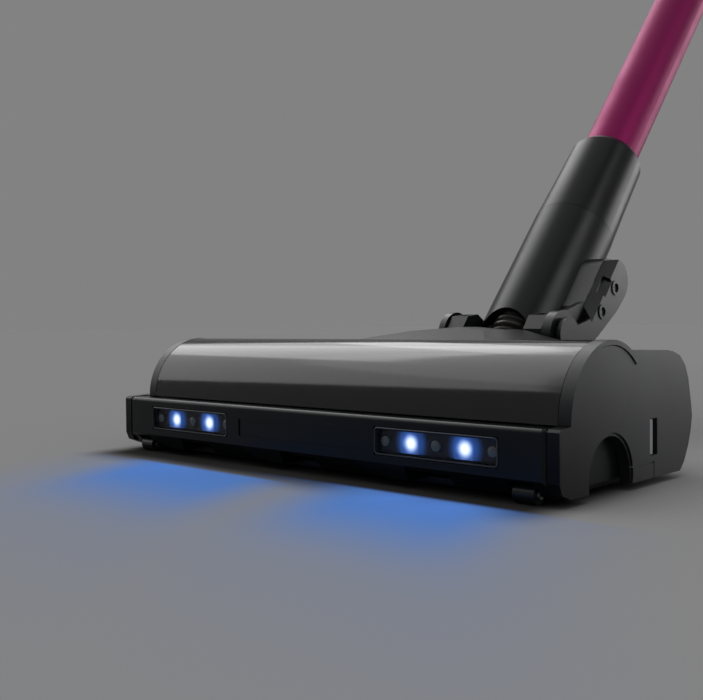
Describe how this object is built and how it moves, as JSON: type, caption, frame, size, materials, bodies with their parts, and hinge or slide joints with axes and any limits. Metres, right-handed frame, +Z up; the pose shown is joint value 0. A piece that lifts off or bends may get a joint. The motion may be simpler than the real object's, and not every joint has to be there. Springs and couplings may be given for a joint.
{
  "type": "cordless stick vacuum cleaner",
  "caption": "Cordless stick vacuum: powered floor head with lit bumper and clear roller cover, tilting and swivelling neck, long wand, and a hand unit with bin, motor, trigger and battery.",
  "frame": {"origin": "on the floor, straight below the neck's tilt hinge, in the middle of the rear glide pad", "axes": "+Z up, -Y the front of the floor head, +X its right end"},
  "size_m": [0.2615, 0.9061, 0.9064],
  "materials": {
    "black_plastic": "satin moulded plastic with a fine grain",
    "dark_grey_plastic": "satin moulded plastic",
    "gloss_black": "polished moulded plastic",
    "smoked_clear": "smoked clear plastic",
    "clear_bin": "clear tinted plastic",
    "wand_magenta": "satin metallic lacquer on an aluminium tube",
    "steel": "plain steel",
    "rubber": "soft black rubber",
    "bristle": "nylon bristle",
    "felt": "short dense felt",
    "filter": "pleated filter paper",
    "light_grey_plastic": "satin moulded plastic",
    "board": "circuit board with light chips",
    "mesh_metal": "perforated steel sheet",
    "display_glass": "glossy black panel",
    "wand_magenta_plastic": "moulded magenta plastic"
  },
  "bodies": {
    "floor_head": {"head_base": "black_plastic", "sole_plate": "black_plastic", "top_housing": "dark_grey_plastic", "rear_housing": "dark_grey_plastic", "rear_tray": "black_plastic", "front_bumper": "black_plastic", "led_boards": "board", "led_windows": "smoked_clear", "roller_cover": "smoked_clear", "cover_ring_left": "gloss_black", "cover_ring_right": "gloss_black", "side_panel_left": "black_plastic", "side_panel_right": "black_plastic", "belt_cover": "black_plastic", "brush_end_cap": "black_plastic", "brush_bearings": "steel", "brush_motor": "steel", "drive_belt": "rubber", "wheel_axles": "steel", "sole_screws": "steel", "rear_glide_pad": "felt", "hinge_pins": "steel"},
    "brush_roll": {"brush_core": "dark_grey_plastic", "brush_bristles": "bristle"},
    "drive_pulley": {"motor_pulley": "steel"},
    "brush_catch": {"brush_latch": "light_grey_plastic"},
    "front_wheel_left": {"front_roller_left": "rubber"},
    "front_wheel_right": {"front_roller_right": "rubber"},
    "back_wheel_left": {"rear_wheel_left": "rubber"},
    "back_wheel_right": {"rear_wheel_right": "rubber"},
    "neck": {"neck_tube": "black_plastic", "yoke_left": "black_plastic", "yoke_right": "black_plastic", "yoke_cover_left": "black_plastic", "yoke_cover_right": "black_plastic", "yoke_screws": "steel", "neck_hose": "rubber"},
    "wand": {"neck_collar": "black_plastic", "wand_tube": "wand_magenta", "wand_socket": "black_plastic", "inlet_tube": "black_plastic", "dust_bin": "clear_bin", "cyclone_cone": "dark_grey_plastic", "mesh_screen": "mesh_metal", "pre_filter": "felt", "motor_housing": "dark_grey_plastic", "fan_motor": "steel", "exhaust_filter": "filter", "display_panel": "display_glass", "handle_left": "black_plastic", "handle_right": "black_plastic"},
    "head_button": {"head_release_button": "dark_grey_plastic"},
    "wand_button": {"wand_release_button": "dark_grey_plastic"},
    "door": {"bin_door": "clear_bin"},
    "door_catch": {"bin_latch": "wand_magenta_plastic"},
    "fan": {"impeller": "light_grey_plastic"},
    "mode_key": {"mode_button": "light_grey_plastic"},
    "trigger_key": {"trigger": "wand_magenta_plastic"},
    "battery": {"battery_pack": "black_plastic"},
    "battery_key": {"battery_button": "light_grey_plastic"}
  },
  "joints": [
    {"name": "brush_spin", "type": "hinge", "parent": "floor_head", "child": "brush_roll", "pos_m": [0, -0.123, 0.0275], "axis": [1, 0, 0], "continuous": true},
    {"name": "pulley_spin", "type": "hinge", "parent": "floor_head", "child": "drive_pulley", "pos_m": [-0.115, -0.076, 0.024], "axis": [1, 0, 0], "continuous": true},
    {"name": "brush_catch_slide", "type": "slide", "parent": "floor_head", "child": "brush_catch", "axis": [0, 1, 0], "range_m": [0, 0.0026], "stiffness_N_per_m": 500, "springref_m": -0.002},
    {"name": "front_left_spin", "type": "hinge", "parent": "floor_head", "child": "front_wheel_left", "pos_m": [-0.1145, -0.154, 0.0036], "axis": [1, 0, 0], "continuous": true},
    {"name": "front_right_spin", "type": "hinge", "parent": "floor_head", "child": "front_wheel_right", "pos_m": [0.1145, -0.154, 0.0036], "axis": [1, 0, 0], "continuous": true},
    {"name": "back_left_spin", "type": "hinge", "parent": "floor_head", "child": "back_wheel_left", "pos_m": [-0.0396, 0, 0.011], "axis": [1, 0, 0], "continuous": true},
    {"name": "back_right_spin", "type": "hinge", "parent": "floor_head", "child": "back_wheel_right", "pos_m": [0.0396, 0, 0.011], "axis": [1, 0, 0], "continuous": true},
    {"name": "neck_tilt", "type": "hinge", "parent": "floor_head", "child": "neck", "pos_m": [0, 0, 0.058], "axis": [-1, 0, 0], "range_deg": [-41, 45]},
    {"name": "neck_swivel", "type": "hinge", "parent": "neck", "child": "wand", "pos_m": [0, 0.07506, 0.11996], "axis": [0, 0.6561, 0.7547], "range_deg": [-75, 75]},
    {"name": "head_release", "type": "slide", "parent": "wand", "child": "head_button", "axis": [0, -0.7547, 0.6561], "range_m": [0, 0.002], "stiffness_N_per_m": 600, "springref_m": -0.002},
    {"name": "wand_release", "type": "slide", "parent": "wand", "child": "wand_button", "axis": [0, -0.7547, 0.6561], "range_m": [0, 0.0018], "stiffness_N_per_m": 600, "springref_m": -0.002},
    {"name": "bin_door_open", "type": "hinge", "parent": "wand", "child": "door", "pos_m": [0, 0.46852, 0.74253], "axis": [-1, 0, 0], "range_deg": [0, 90]},
    {"name": "bin_latch_slide", "type": "slide", "parent": "wand", "child": "door_catch", "axis": [0, 0.6561, 0.7547], "range_m": [0, 0.004], "stiffness_N_per_m": 400, "springref_m": -0.002},
    {"name": "fan_spin", "type": "hinge", "parent": "wand", "child": "fan", "pos_m": [0, 0.5782, 0.80089], "axis": [0, 0.6561, 0.7547], "continuous": true},
    {"name": "mode_press", "type": "slide", "parent": "wand", "child": "mode_key", "axis": [0, -0.6561, -0.7547], "range_m": [0, 0.0012], "stiffness_N_per_m": 600, "springref_m": -0.002},
    {"name": "trigger_pull", "type": "slide", "parent": "wand", "child": "trigger_key", "axis": [0, 0.7547, -0.6561], "range_m": [0, 0.005], "stiffness_N_per_m": 500, "springref_m": -0.002},
    {"name": "battery_slide", "type": "slide", "parent": "wand", "child": "battery", "axis": [0, -0.6561, -0.7547], "range_m": [0, 0.06]},
    {"name": "battery_release", "type": "slide", "parent": "battery", "child": "battery_key", "axis": [0, -0.7547, 0.6561], "range_m": [0, 0.0015], "stiffness_N_per_m": 600, "springref_m": -0.002}
  ],
  "couplings": [
    {"joint": "pulley_spin", "follows": "brush_spin", "ratio": 2}
  ]
}
